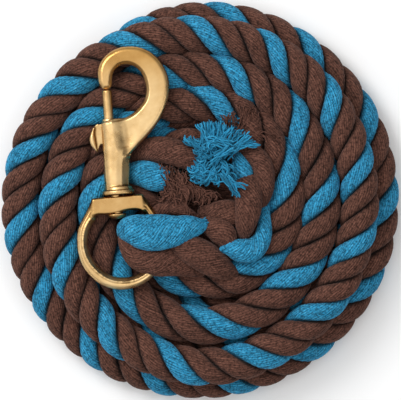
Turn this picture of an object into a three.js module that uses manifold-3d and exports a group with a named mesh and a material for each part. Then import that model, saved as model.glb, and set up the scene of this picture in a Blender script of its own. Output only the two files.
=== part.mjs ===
// Lead rope with a bolt snap, coiled in two layers with the snap lying on top.
// Millimetres, +Z up. The origin is under the middle of the coil, on the surface that it lies on.
import * as THREE from "three";
import { mergeVertices } from "three/addons/utils/BufferGeometryUtils.js";
import Module from "manifold-3d";

const wasm = await Module();
wasm.setup();

// Driving dimensions
const ROPE_RADIUS = 8.55;
const FIT_GAP = 0.3;
const COIL_OUTER_RADIUS = 94.2;
const UPPER_OUTER_RADIUS = 87;
const UPPER_INNER_RADIUS = 39;
const UPPER_TOP = 29;
const LOWER_INNER_RADIUS = 43.7;
const SPLICE_RADIUS = 10;

const SNAP_PLACE = [-38.3, -21.4, 36];
const SNAP_TURN = THREE.MathUtils.degToRad(4);
const RING_RADIUS = 18;
const WIRE_RADIUS = 2.6;
const BAR_BOTTOM = 15.2;
const BAR_TOP = 23.7;
const SHANK_RADIUS = 2.6;
const SHANK_HOLE_RADIUS = 2.9;
const FLANGE_BOTTOM = 24.1;
const BARREL_RADIUS = 4.6;
const BARREL_TOP = 60.3;
const BORE_RADIUS = 2.9;
const BORE_FLOOR = 30.4;
const BOLT_RADIUS = 2.35;
const BOLT_GUIDE_RADIUS = 2.6;
const BOLT_REAR = 50;
const BOLT_TIP = 73.1;
const HOOK_THICKNESS = 6.4;
const HOOK_BEVEL = 1.3;

const BROWN = new THREE.MeshStandardMaterial({ color: 0x5a3f38, roughness: 0.95, metalness: 0 });
const BLUE = new THREE.MeshStandardMaterial({ color: 0x2e8fbe, roughness: 0.95, metalness: 0 });
const TWINE = new THREE.MeshStandardMaterial({ color: 0xcfc3a8, roughness: 0.9, metalness: 0 });
const BRASS = new THREE.MeshStandardMaterial({ color: 0xd2a05a, roughness: 0.35, metalness: 1 });
const STEEL = new THREE.MeshStandardMaterial({ color: 0xb9bcc0, roughness: 0.3, metalness: 1 });

const group = new THREE.Group();
const snap = new THREE.Group();
snap.position.set(...SNAP_PLACE);
snap.rotation.z = SNAP_TURN;
group.add(snap);

function addPiece(parent, name, geometry, material) {
  const mesh = new THREE.Mesh(geometry, material);
  mesh.name = name;
  parent.add(mesh);
}

// Closed geometry to a solid for cutting and joining, and back
function toSolid(geometry) {
  const bare = geometry.index ? geometry.toNonIndexed() : geometry.clone();
  bare.deleteAttribute("normal");
  bare.deleteAttribute("uv");
  const merged = mergeVertices(bare, 1e-4);
  const mesh = new wasm.Mesh({
    numProp: 3,
    vertProperties: new Float32Array(merged.attributes.position.array),
    triVerts: new Uint32Array(merged.index.array),
  });
  return new wasm.Manifold(mesh);
}

function toGeometry(solid) {
  const mesh = solid.getMesh();
  const geometry = new THREE.BufferGeometry();
  geometry.setAttribute("position", new THREE.BufferAttribute(mesh.vertProperties, 3));
  geometry.setIndex(new THREE.BufferAttribute(mesh.triVerts, 1));
  geometry.computeVertexNormals();
  return geometry;
}

function points2(list) {
  return list.map(([x, y]) => new THREE.Vector2(x, y));
}

function points3(list) {
  return list.map(([x, y, z]) => new THREE.Vector3(x, y, z));
}

function smoothCurve(path) {
  return new THREE.CatmullRomCurve3(points3(path), false, "centripetal");
}

// A round section swept along a curve, or along a smooth curve through the given points
function tube(path, radius, sides, steps) {
  const corners = [];
  for (let i = 0; i < sides; i += 1) {
    const angle = (2 * Math.PI * i) / sides;
    corners.push(new THREE.Vector2(radius * Math.cos(angle), radius * Math.sin(angle)));
  }
  const section = new THREE.Shape(corners);
  const curve = path instanceof THREE.Curve ? path : smoothCurve(path);
  return new THREE.ExtrudeGeometry(section, { steps, extrudePath: curve, bevelEnabled: false });
}

// A flat outline given thickness about the plane z = 0, with chamfered edges inside the outline
function plate(shape, thickness, bevel, curveSegments = 6) {
  const geometry = new THREE.ExtrudeGeometry(shape, {
    depth: thickness - 2 * bevel,
    bevelEnabled: bevel > 0,
    bevelSize: bevel,
    bevelThickness: bevel,
    bevelOffset: -bevel,
    bevelSegments: 1,
    curveSegments,
  });
  geometry.translate(0, 0, bevel - thickness / 2);
  return geometry;
}

// A profile of [radius, height] revolved about the vertical axis
function ring(profile, segments) {
  const geometry = new THREE.LatheGeometry(points2(profile), segments);
  geometry.rotateX(Math.PI / 2);
  return geometry;
}

// Coil: the lower layer's turns are one ring, and the upper layer's turns another
function lowerProfile() {
  const top = 2 * ROPE_RADIUS;
  const soft = 5;
  return [
    [LOWER_INNER_RADIUS + soft, 0],
    [COIL_OUTER_RADIUS - soft, 0],
    [COIL_OUTER_RADIUS, soft],
    [COIL_OUTER_RADIUS, top - soft],
    [COIL_OUTER_RADIUS - soft, top],
    [LOWER_INNER_RADIUS + 2, top],
    [LOWER_INNER_RADIUS, top - 2],
    [LOWER_INNER_RADIUS, soft],
    [LOWER_INNER_RADIUS + soft, 0],
  ];
}

function upperProfile(grow) {
  const bottom = 2 * ROPE_RADIUS + FIT_GAP - grow;
  const inner = UPPER_INNER_RADIUS - grow;
  const outer = UPPER_OUTER_RADIUS + grow;
  const top = UPPER_TOP + grow;
  return [
    [inner, bottom],
    [outer, bottom],
    [outer, top - 6],
    [outer - 5, top],
    [inner + 3, top],
    [inner, top - 3],
    [inner, bottom],
  ];
}

addPiece(group, "rope_lower_coil", ring(lowerProfile(), 48), BROWN);
addPiece(group, "rope_upper_coil", ring(upperProfile(0), 48), BROWN);

// Inner turn: eye, splice and the stretch that dips under the eye and joins the coil
const SPLICE_ROUTE = [
  [-7.3, -22.4, 34],
  [-5.6, -22.4, 34],
  [0.8, -24.4, 32.2],
  [9, -25, 29],
  [18.5, -18.5, 26.8],
  [24.4, -8, 26],
  [25.4, 3, 26],
  [21.5, 15, 26],
  [13.5, 23.5, 26],
  [2.5, 27.4, 26],
  [-8, 26.8, 26],
  [-13.8, 24.7, 25.8],
  [-15.5, 23.6, 25.8],
];
const INNER_TURN_ROUTE = [
  [-15.9, 23.34, 25.8],
  [-17.6, 22.2, 25.8],
  [-23, 17.4, 25.2],
  [-27.6, 10, 22.5],
  [-29.4, 1, 18],
  [-30, -7, 14],
  [-29.4, -14, 11.5],
  [-27, -20, 10.5],
];
const TAIL_PATH_RADIUS = 34.7;

function arcRoute(radius, height, fromDegrees, toDegrees, count) {
  const route = [];
  for (let i = 0; i <= count; i += 1) {
    const angle = THREE.MathUtils.degToRad(fromDegrees + ((toDegrees - fromDegrees) * i) / count);
    route.push([radius * Math.cos(angle), radius * Math.sin(angle), height]);
  }
  return route;
}

addPiece(group, "rope_splice", tube(SPLICE_ROUTE, SPLICE_RADIUS, 10, 16), BROWN);
addPiece(group, "rope_inner_turn", tube(INNER_TURN_ROUTE, ROPE_RADIUS, 10, 12), BROWN);
const tailRoute = arcRoute(TAIL_PATH_RADIUS, ROPE_RADIUS, 55, 100, 16);
addPiece(group, "rope_tail", tube(tailRoute, ROPE_RADIUS - 0.05, 10, 5), BROWN);
const whippingRoute = arcRoute(TAIL_PATH_RADIUS, ROPE_RADIUS, 101.3, 120, 8);
addPiece(group, "tail_whipping", tube(whippingRoute, ROPE_RADIUS - 0.05, 12, 4), TWINE);

// Strand ends that come out of the splice
function strandEnd(outline, bottom, thickness, bevel) {
  const shape = new THREE.Shape();
  shape.setFromPoints(new THREE.SplineCurve(points2([...outline, outline[0]])).getPoints(28).slice(0, -1));
  const geometry = plate(shape, thickness, bevel);
  geometry.translate(0, 0, bottom + thickness / 2);
  return geometry;
}

const BLUE_END = [
  [-4, 30], [1, 35], [13, 35], [25, 29], [21, 20], [21.5, 7], [17, 2.5], [-1.5, 7], [2.5, 19],
];
addPiece(group, "blue_strand_end", strandEnd(BLUE_END, 36.4, 4.5, 1), BLUE);

function ovalOutline(x, y, halfWidth, halfLength, count) {
  const outline = [];
  for (let i = 0; i < count; i += 1) {
    const angle = (2 * Math.PI * i) / count;
    outline.push([x + halfWidth * Math.cos(angle), y + halfLength * Math.sin(angle)]);
  }
  return outline;
}

addPiece(group, "brown_strand_end_inner", strandEnd(ovalOutline(-8, 4.5, 6.5, 8.5, 12), 22, 12, 2), BROWN);
addPiece(group, "brown_strand_end_outer", strandEnd(ovalOutline(20.5, 42, 6.5, 4, 12), 29.4, 4, 1), BROWN);

// Swivel eye: ring and flat bar in one casting, with a hole for the hook's shank
function eyeRoute() {
  const route = [[-7, 20.3, 0], [-12.4, 18.9, 0], [-16.2, 12, 0]];
  const count = 14;
  for (let i = 0; i <= count; i += 1) {
    const angle = THREE.MathUtils.degToRad(166 + (208 * i) / count);
    route.push([RING_RADIUS * Math.cos(angle), RING_RADIUS * Math.sin(angle), 0]);
  }
  route.push([16.2, 12, 0], [12.4, 18.9, 0], [7, 20.3, 0]);
  return route;
}

function cylinderAlongY(radius, from, to, sides) {
  const geometry = new THREE.CylinderGeometry(radius, radius, to - from, sides);
  geometry.translate(0, (from + to) / 2, 0);
  return geometry;
}

function barShape() {
  const shape = new THREE.Shape();
  shape.setFromPoints(points2([
    [-10.5, BAR_BOTTOM], [10.5, BAR_BOTTOM], [13.6, BAR_BOTTOM + 2.4], [12.2, BAR_TOP - 0.8],
    [11.4, BAR_TOP], [-11.4, BAR_TOP], [-12.2, BAR_TOP - 0.8], [-13.6, BAR_BOTTOM + 2.4],
  ]));
  return shape;
}

const wire = toSolid(tube(eyeRoute(), WIRE_RADIUS, 10, 44));
const bar = toSolid(plate(barShape(), 8.4, 0.9));
const shankHole = toSolid(cylinderAlongY(SHANK_HOLE_RADIUS, BAR_BOTTOM - 6, BAR_TOP + 2, 20));
addPiece(snap, "swivel_eye", toGeometry(wire.add(bar).subtract(shankHole)), BRASS);

// Rope eye: the rope's bight, flattened over and under the ring's wire
function bightShape() {
  const shape = new THREE.Shape();
  const side = [
    [-37.4, 36.5], [-35.6, 32], [-31, 28.4], [-24, 26], [-16, 25.4], [-8, 25.8],
    [-8, 43.6], [-15, 46.2], [-24, 46.6], [-31, 44.4], [-35.6, 41],
  ];
  shape.setFromPoints(points2(side));
  return shape;
}

function bightPlan() {
  const shape = new THREE.Shape();
  shape.setFromPoints(points2([
    [-37.4, -16], [-35, -11.2], [-31, -8.6], [-22, -7.4], [-8, -8.6],
    [-8, -33], [-20, -34], [-28.3, -33.4], [-34.4, -29.4], [-37.4, -23],
  ]).reverse());
  return shape;
}

const bightSide = new THREE.ExtrudeGeometry(bightShape(), { depth: 40, bevelEnabled: false });
bightSide.rotateX(Math.PI / 2);
const bightTop = new THREE.ExtrudeGeometry(bightPlan(), { depth: 40, bevelEnabled: false });
bightTop.translate(0, 0, 16);
const clearWire = tube(eyeRoute(), WIRE_RADIUS + FIT_GAP + 0.1, 10, 44);
clearWire.rotateZ(SNAP_TURN);
clearWire.translate(...SNAP_PLACE);
const bight = toSolid(bightSide)
  .intersect(toSolid(bightTop))
  .subtract(toSolid(clearWire))
  .subtract(toSolid(ring(upperProfile(FIT_GAP), 48)));
addPiece(group, "rope_eye", toGeometry(bight), BLUE);

// Snap body: hook, barrel, collar, shank and riveted head in one casting
function hookShape() {
  const outer = [
    [6.4, 41.6], [13, 48.3], [18.3, 53.2], [23.2, 58.2], [26.7, 64.2], [28.4, 71.5], [27.7, 77.6],
    [25, 84.2], [20.4, 89.4], [15.6, 92.4], [9.5, 93.5], [3.6, 92.3], [-1.2, 89.1], [-4.5, 83.4],
    [-5, 76.4],
  ];
  const inner = [
    [2, 75.6], [3.4, 81.6], [6.3, 84.9], [10, 85.6], [14.4, 83.4], [17, 79], [17.7, 73.6],
    [16.6, 68.4], [13.4, 63.8], [9, 60.7], [3, 59.2],
  ];
  const outline = [
    ...new THREE.SplineCurve(points2(outer)).getPoints(26),
    ...points2([[-3.8, 74.5], [0.6, 74]]),
    ...new THREE.SplineCurve(points2(inner)).getPoints(20),
    ...points2([[-1.5, 57.4], [-1.5, 42]]),
  ];
  const shape = new THREE.Shape();
  shape.setFromPoints(outline);
  return shape;
}

function barrelProfile() {
  return [
    [0, 11.4], [2.4, 11.6], [3.9, 12.8], [4.3, 14.9], [SHANK_RADIUS, 14.9],
    [SHANK_RADIUS, FLANGE_BOTTOM], [6.6, FLANGE_BOTTOM], [6.6, 25.7], [5.2, 27.6],
    [BARREL_RADIUS, 28.6], [BARREL_RADIUS, BARREL_TOP - 1.2], [4, BARREL_TOP], [0, BARREL_TOP],
  ];
}

const hook = toSolid(plate(hookShape(), HOOK_THICKNESS, HOOK_BEVEL));
const barrel = toSolid(new THREE.LatheGeometry(points2(barrelProfile()), 28));
const bore = toSolid(cylinderAlongY(BORE_RADIUS, BORE_FLOOR, BARREL_TOP + 3, 20));
const thumbSlot = new THREE.BoxGeometry(8, 20.1, 3.4);
thumbSlot.translate(-4, 46.45, 0);
const snapBody = hook.add(barrel).subtract(bore).subtract(toSolid(thumbSlot));
addPiece(snap, "snap_body", toGeometry(snapBody), BRASS);

// Bolt, its thumb button and its spring
const boltProfile = [
  [0, BOLT_REAR], [BOLT_GUIDE_RADIUS, BOLT_REAR], [BOLT_GUIDE_RADIUS, BOLT_REAR + 6],
  [BOLT_RADIUS, BOLT_REAR + 6.4], [BOLT_RADIUS, BOLT_TIP - 0.6],
  [BOLT_RADIUS - 0.5, BOLT_TIP], [0, BOLT_TIP],
];
addPiece(snap, "bolt", new THREE.LatheGeometry(points2(boltProfile), 20), BRASS);

const pad = new THREE.Shape();
pad.moveTo(-5, 47.4);
pad.lineTo(-5, 59.2);
pad.quadraticCurveTo(-10.4, 57.2, -11, 51.8);
pad.quadraticCurveTo(-10.8, 47, -7.8, 45.2);
const stem = new THREE.BoxGeometry(2.7, 4.4, 2.7);
stem.translate(-4.3, 53.3, 0);
addPiece(snap, "thumb_button", toGeometry(toSolid(plate(pad, 7.2, 0.7, 8)).add(toSolid(stem))), BRASS);

class SpringCurve extends THREE.Curve {
  getPoint(t, target = new THREE.Vector3()) {
    const turns = 7;
    const radius = 2;
    const from = BORE_FLOOR + 0.7;
    const to = BOLT_REAR - 0.7;
    const angle = 2 * Math.PI * turns * t;
    return target.set(radius * Math.cos(angle), from + (to - from) * t, radius * Math.sin(angle));
  }
}

addPiece(snap, "bolt_spring", tube(new SpringCurve(), 0.35, 6, 84), STEEL);

export default group;
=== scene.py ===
"""Lead rope: a coiled three-strand cotton rope, eye-spliced to a swivelling brass bolt snap."""
import math

import bpy
import numpy as np
import openvdb
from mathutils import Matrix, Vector


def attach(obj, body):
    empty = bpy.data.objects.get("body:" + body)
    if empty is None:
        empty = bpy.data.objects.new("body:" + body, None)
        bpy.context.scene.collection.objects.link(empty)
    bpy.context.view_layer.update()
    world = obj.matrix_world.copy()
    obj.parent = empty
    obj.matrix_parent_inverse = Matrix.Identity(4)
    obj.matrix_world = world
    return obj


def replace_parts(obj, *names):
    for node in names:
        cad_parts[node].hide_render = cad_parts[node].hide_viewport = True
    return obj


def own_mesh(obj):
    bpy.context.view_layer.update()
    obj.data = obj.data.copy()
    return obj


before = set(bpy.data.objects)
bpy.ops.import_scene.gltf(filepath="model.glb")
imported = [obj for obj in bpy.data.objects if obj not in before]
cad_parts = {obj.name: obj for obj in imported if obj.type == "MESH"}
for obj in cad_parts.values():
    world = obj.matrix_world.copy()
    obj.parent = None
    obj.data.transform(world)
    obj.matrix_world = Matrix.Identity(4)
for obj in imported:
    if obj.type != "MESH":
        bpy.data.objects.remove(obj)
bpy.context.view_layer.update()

# Lengths are in millimetres, apart from those of the lamps, the floor and the materials, in metres
MM = 0.001
ROPE_RADIUS = 8.55
FLOOR_GAP = 0.05
CAMERA_HEIGHT = 2500
VIEW_WIDTH = 190.5
VIEW_LEVEL = 20
SKY_STRENGTH = 1.3
SKY_LEAN = (-0.36, 0.18, 0.92)
FLOOR_HALF = 3.0

# -------- shader nodes


def new_material(name, values):
    """A material, its node tree and its shader, with constant values on the shader's own sockets."""
    material = bpy.data.materials.new(name)
    material.use_nodes = True
    shader = material.node_tree.nodes["Principled BSDF"]
    for key, value in values.items():
        shader.inputs[key].default_value = value
    return material, material.node_tree, shader


def add_node(tree, kind, **settings):
    node = tree.nodes.new(kind)
    for key, value in settings.items():
        if key in node.inputs:
            node.inputs[key].default_value = value
        else:
            setattr(node, key, value)
    return node


def add_noise(tree, vector, scale, detail, roughness=0.5):
    noise = add_node(tree, "ShaderNodeTexNoise", Scale=scale, Detail=detail, Roughness=roughness)
    tree.links.new(vector, noise.inputs["Vector"])
    return noise.outputs["Fac"]


def add_ramp(tree, source, stops):
    """A colour ramp read from a source socket; stops are (position, colour) pairs."""
    ramp = tree.nodes.new("ShaderNodeValToRGB")
    elements = ramp.color_ramp.elements
    while len(elements) < len(stops):
        elements.new(0.5)
    for element, (position, colour) in zip(elements, stops):
        element.position = position
        element.color = (*colour, 1)
    tree.links.new(source, ramp.inputs["Fac"])
    return ramp.outputs["Color"]


def add_bump(tree, height, strength, distance, normal=None):
    bump = add_node(tree, "ShaderNodeBump", Strength=strength, Distance=distance)
    tree.links.new(height, bump.inputs["Height"])
    if normal:
        tree.links.new(normal, bump.inputs["Normal"])
    return bump.outputs["Normal"]


def multiply_colour(tree, first, second, amount=1.0):
    mix = add_node(tree, "ShaderNodeMix", data_type="RGBA", blend_type="MULTIPLY")
    mix.inputs[0].default_value = amount
    tree.links.new(first, mix.inputs[6])
    tree.links.new(second, mix.inputs[7])
    return mix.outputs[2]


def object_place(tree):
    return add_node(tree, "ShaderNodeTexCoord").outputs["Object"]


def fibre_place(tree, scale):
    """The UV round and along a strand, stretched so that noise runs in streaks along it."""
    uv = add_node(tree, "ShaderNodeUVMap", uv_map="fibre")
    stretch = add_node(tree, "ShaderNodeMapping", Scale=scale)
    tree.links.new(uv.outputs["UV"], stretch.inputs["Vector"])
    return stretch.outputs["Vector"]


def stored_value(tree, name):
    """A value that the mesh holds at each vertex."""
    return add_node(tree, "ShaderNodeAttribute", attribute_name=name).outputs["Fac"]


def grey(value):
    return (value, value, value)


# -------- camera, light and floor


def add_object(name, data):
    made = bpy.data.objects.new(name, data)
    bpy.context.collection.objects.link(made)
    return made


def make_camera():
    """A camera high above the coil, whose view is VIEW_WIDTH wide at the snap's level."""
    data = bpy.data.cameras.new("camera")
    data.sensor_width = 36
    data.lens = data.sensor_width * (CAMERA_HEIGHT - VIEW_LEVEL) / VIEW_WIDTH
    data.clip_start = 0.1
    data.clip_end = 20
    camera = add_object("camera", data)
    camera.location = (0, 0, CAMERA_HEIGHT * MM)
    bpy.context.scene.camera = camera


def make_sky():
    """Even light from all round, dimmer low down and on the right."""
    world = bpy.data.worlds.new("studio")
    bpy.context.scene.world = world
    world.use_nodes = True
    tree = world.node_tree
    background = tree.nodes["Background"]
    background.inputs["Strength"].default_value = SKY_STRENGTH
    direction = tree.nodes.new("ShaderNodeTexCoord")
    lean = add_node(tree, "ShaderNodeVectorMath", operation="DOT_PRODUCT")
    lean.inputs[1].default_value = SKY_LEAN
    tree.links.new(direction.outputs["Generated"], lean.inputs[0])
    sky = add_ramp(tree, lean.outputs["Value"], [(0.15, grey(0.15)), (0.95, grey(1.0))])
    tree.links.new(sky, background.inputs["Color"])


def add_area_light(name, place, size, power):
    """A round lamp that shines on the middle of the floor."""
    data = bpy.data.lights.new(name, "AREA")
    data.shape = "DISK"
    data.size = size
    data.energy = power
    lamp = add_object(name, data)
    lamp.location = place
    lamp.rotation_euler = (-Vector(place)).to_track_quat("-Z", "Y").to_euler()


def make_floor():
    data = bpy.data.meshes.new("floor")
    corners = [(-FLOOR_HALF, -FLOOR_HALF, 0), (FLOOR_HALF, -FLOOR_HALF, 0)]
    corners += [(FLOOR_HALF, FLOOR_HALF, 0), (-FLOOR_HALF, FLOOR_HALF, 0)]
    data.from_pydata(corners, [], [(0, 1, 2, 3)])
    material, _, _ = new_material("floor", {"Base Color": (0.9, 0.9, 0.9, 1), "Roughness": 0.7})
    data.materials.append(material)
    add_object("floor", data)


# -------- the rope's route

SPLICE_ROUTE = [
    (-16, -22.4, 35), (-7.3, -22.4, 34), (-5.6, -22.4, 34), (0.8, -24.4, 32.2), (9, -25, 29),
    (18.5, -18.5, 26.8), (24.4, -8, 26), (25.4, 3, 26), (21.5, 15, 26), (13.5, 23.5, 26),
    (2.5, 27.4, 26), (-8, 26.8, 26), (-13.8, 24.7, 25.8), (-15.5, 23.6, 25.8),
]
INNER_TURN_ROUTE = [
    (-17.6, 22.2, 25.8), (-23, 17.4, 25.2), (-27.6, 10, 22.5), (-29.4, 1, 18), (-30, -7, 14),
    (-29.4, -14, 11.5), (-27, -20, 10.5), (-22.4, -28.4, 12.5), (-16, -35, 17.5),
]
# The coil goes on from below the splice, out over the top layer, down at the left and in underneath.
# Radii and heights are at each eighth of a turn, and the last height holds for the whole lower layer.
# The twists, at each quarter, are the turns that the blue strand has made, which place the blue stretches.
# The last twist only guides the curve before it.
COIL_RADII = [
    39.9, 40.4, 40.9, 43.2, 46.1, 48, 48.9, 53.7,
    59.4, 58, 57.5, 58.9, 61.3, 64.1, 67.5, 73.6,
    78.9, 77, 75.5, 76.5, 78.4, 82, 85.6, 86,
    85.5, 85.5, 85.5, 85.5, 85.5, 78.5, 70, 69,
    69, 69, 69, 69, 69, 61, 52.8, 52.3,
    52.3, 51, 46, 37.5, 34.7,
]
COIL_HEIGHTS = [
    21.5, 23.5, 24.2, 24.2, 24, 23.7, 23.6, 23.7,
    23.9, 23.9, 23.9, 23.9, 23.9, 23.8, 23.7, 23.7,
    23.6, 23.5, 23.4, 23.4, 23.4, 22.5, 17, 10.5,
    ROPE_RADIUS,
]
COIL_TWISTS = [
    -0.5, 0.83, 2.2, 4.13, 5.84, 8, 10.5, 13.17,
    16.3, 19.65, 23.1, 26.7, 30.7, 34.15, 37.45, 40.98,
]
COIL_START = 0.25
COIL_END = 22.3
STEPS_PER_QUARTER = 24
SPLICE_LAY = 45
HIDDEN_LAY = 38


def catmull_rom(a, b, c, d, t):
    """The curve between b and c, at a share t of the way."""
    return 0.5 * (2 * b + (c - a) * t + (2 * a - 5 * b + 4 * c - d) * t**2 + (3 * b - a - 3 * c + d) * t**3)


def smooth_value(values, place):
    """A smooth curve through evenly spaced values; past the last one it stays there."""
    i = math.floor(place)
    a, b, c, d = (values[min(max(k, 0), len(values) - 1)] for k in (i - 1, i, i + 1, i + 2))
    return catmull_rom(a, b, c, d, place - i)


def smooth_route(points, steps):
    """Points on a centripetal Catmull-Rom curve through the given ones."""
    p = [np.array(q, float) for q in points]
    p = [2 * p[0] - p[1]] + p + [2 * p[-1] - p[-2]]
    out = []
    for i in range(1, len(p) - 2):
        a, b, c, d = p[i - 1 : i + 3]
        t0 = 0
        t1 = t0 + np.linalg.norm(b - a) ** 0.5
        t2 = t1 + np.linalg.norm(c - b) ** 0.5
        t3 = t2 + np.linalg.norm(d - c) ** 0.5
        for t in np.linspace(t1, t2, steps, endpoint=False):
            ab = (t1 - t) / (t1 - t0) * a + (t - t0) / (t1 - t0) * b
            bc = (t2 - t) / (t2 - t1) * b + (t - t1) / (t2 - t1) * c
            cd = (t3 - t) / (t3 - t2) * c + (t - t2) / (t3 - t2) * d
            abc = (t2 - t) / (t2 - t0) * ab + (t - t0) / (t2 - t0) * bc
            bcd = (t3 - t) / (t3 - t1) * bc + (t - t1) / (t3 - t1) * cd
            out.append((t2 - t) / (t2 - t1) * abc + (t - t1) / (t2 - t1) * bcd)
    out.append(p[-2])
    return np.array(out)


def coil_point(quarters):
    """The coil's centreline at a number of quarter turns from its start."""
    angle = math.radians(90 * quarters - 90)
    radius = smooth_value(COIL_RADII, 2 * quarters)
    height = smooth_value(COIL_HEIGHTS, 2 * quarters)
    return radius * math.cos(angle), radius * math.sin(angle), height


def run_lengths(points):
    """The length of the line up to each of its points."""
    return np.r_[0, np.cumsum(np.linalg.norm(np.diff(points, axis=0), axis=1))]


def rope_line():
    """The rope's centreline, its length and the blue strand's turns at each of its points."""
    quarters = np.arange(COIL_START, COIL_END, 1 / STEPS_PER_QUARTER)
    coil = [coil_point(q) for q in quarters]
    splice = smooth_route(SPLICE_ROUTE + INNER_TURN_ROUTE + coil[:2], 16)[:-1]
    points = np.vstack([splice, coil[1:]])
    run = run_lengths(points)
    first = len(splice)
    hidden_from = first + np.searchsorted(quarters[1:], len(COIL_TWISTS) - 2) + 1
    twists = np.empty(len(points))
    for k, q in enumerate(quarters[1:], first):
        if k < hidden_from:
            twists[k] = smooth_value(COIL_TWISTS, q)
        else:
            twists[k] = twists[k - 1] + (run[k] - run[k - 1]) / HIDDEN_LAY
    twists[:first] = twists[first] + (run[:first] - run[first]) / SPLICE_LAY
    return points, run, twists


LINE, LINE_RUN, LINE_TWISTS = rope_line()
ROPE_LENGTH = LINE_RUN[-1]


def along(distance):
    """Centreline points, and the blue strand's turns, at the given distances from the eye."""
    points = np.stack([np.interp(distance, LINE_RUN, LINE[:, k]) for k in range(3)], axis=1)
    return points, np.interp(distance, LINE_RUN, LINE_TWISTS)


def frames(points):
    """Unit vectors upward across a line and to its right, at each of its points."""
    ahead = np.gradient(points, axis=0)
    ahead /= np.linalg.norm(ahead, axis=1)[:, None]
    up = np.array([0, 0, 1.0]) - ahead * ahead[:, 2:3]
    up /= np.linalg.norm(up, axis=1)[:, None]
    return up, np.cross(ahead, up)


# -------- mesh helpers


def make_object(name, vertices, faces, material, uv=None, values=None):
    """A mesh object from vertices in millimetres, with a UV pair and named values at each vertex."""
    data = bpy.data.meshes.new(name)
    vertices = np.asarray(vertices, float) * MM
    faces = np.asarray(faces, int)
    data.vertices.add(len(vertices))
    data.vertices.foreach_set("co", vertices.astype(np.float32).ravel())
    data.loops.add(faces.size)
    data.loops.foreach_set("vertex_index", faces.ravel().astype(np.int32))
    data.polygons.add(len(faces))
    starts = np.arange(len(faces)) * faces.shape[1]
    data.polygons.foreach_set("loop_start", starts.astype(np.int32))
    data.polygons.foreach_set("use_smooth", np.full(len(faces), True))
    if uv is not None:
        layer = data.uv_layers.new(name="fibre")
        layer.data.foreach_set("uv", np.asarray(uv)[faces.ravel()].astype(np.float32).ravel())
    for key, value in (values or {}).items():
        attribute = data.attributes.new(key, "FLOAT", "POINT")
        attribute.data.foreach_set("value", np.asarray(value, np.float32))
    data.update()
    data.validate()
    data.materials.append(material)
    return add_object(name, data)


def ring_uv(columns, distance, shift=0.0):
    """A UV pair for each vertex of a tube: U counts round it and V runs along it."""
    u = np.arange(columns)[None, :] / 3 + shift
    return np.stack(np.broadcast_arrays(u, distance[:, None] / 10), axis=2).reshape(-1, 2)


def tube_faces(rings, columns, first=0):
    """Quads of a tube of rings with an even number of columns, joined round and closed at both ends."""
    i = np.arange(rings - 1)[:, None]
    j = np.arange(columns)[None, :]
    k = (j + 1) % columns
    a = first + i * columns + j
    b = first + i * columns + k
    wall = np.stack([a, b, b + columns, a + columns], axis=2).reshape(-1, 4)
    m = np.arange(columns // 2 - 1)
    cap = first + np.stack([m, columns - 1 - m, columns - 2 - m, m + 1], axis=1)
    return np.vstack([wall, cap, cap[:, ::-1] + (rings - 1) * columns])


# -------- strands

YARNS = 26
YARN_SHAPE = (-0.2, 0.08, 0.08)
YARN_TURNS_PER_MM = -0.039
BULGE_RADIUS = 9.15
GROOVE_DEPTH = 0.25
STRAND_CENTRE = 0.5
SIDE_GAP = 0.01
SIXTH = math.radians(60)  # of a turn, which is half of what one strand fills
CORNER_POWER = 9
WOBBLE_SPACING = 21
TWIST_WOBBLE = 0.045
GIRTH_WOBBLE = 0.012
FINE_LENGTH = 2000
FINE_STEP = 2.1
COARSE_STEP = 6.0
OVERLAP = 4
# Distances from the eye, and the share of the full radius at each: less below the tucked strands
SPLICE_GIRTH = [(0, 0.6), (6, 0.65), (135, 0.65), (165, 1)]


def section_outline():
    """Points round one strand's section, in rope radii from the rope's centre, and the length up to each."""
    lobe_angle = np.radians(np.linspace(0, 150, 301))
    lobe = np.maximum(1 - GROOVE_DEPTH * (lobe_angle / SIXTH) ** 3, 0.02)
    lobe_x, lobe_y = lobe * np.cos(lobe_angle) - STRAND_CENTRE, lobe * np.sin(lobe_angle)
    angle = np.linspace(-np.pi, np.pi, 721)
    outer = np.interp(np.abs(angle), np.arctan2(lobe_y, lobe_x), np.hypot(lobe_y, lobe_x))
    away = np.maximum(np.sin(np.abs(angle) - SIXTH), 1e-3)
    side = (STRAND_CENTRE * math.sin(SIXTH) - SIDE_GAP) / away
    size = (outer**-CORNER_POWER + side**-CORNER_POWER) ** (-1 / CORNER_POWER)
    x, y = STRAND_CENTRE + size * np.cos(angle), size * np.sin(angle)
    return x, y, run_lengths(np.stack([x, y], axis=1))


def strand_section(turned):
    """Outward and sideways offsets of each column at each ring, and the direction each one faces."""
    x, y, run = section_outline()
    count = YARNS * len(YARN_SHAPE)
    place = (np.arange(count)[None, :] / count + turned[:, None]) % 1 * run[-1]
    step = run[-1] * 0.01
    after, before = (place + step) % run[-1], (place - step) % run[-1]
    along_x = np.interp(after, run, x) - np.interp(before, run, x)
    along_y = np.interp(after, run, y) - np.interp(before, run, y)
    size = np.hypot(along_x, along_y)
    return np.interp(place, run, x), np.interp(place, run, y), along_y / size, -along_x / size


def slow_noise(distance, spacing, rng):
    """Random values of about 1 that change smoothly over the given spacing."""
    places = np.arange(0, distance.max() + 2 * spacing, spacing)
    return np.interp(distance, places, rng.normal(0, 1, len(places)))


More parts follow.
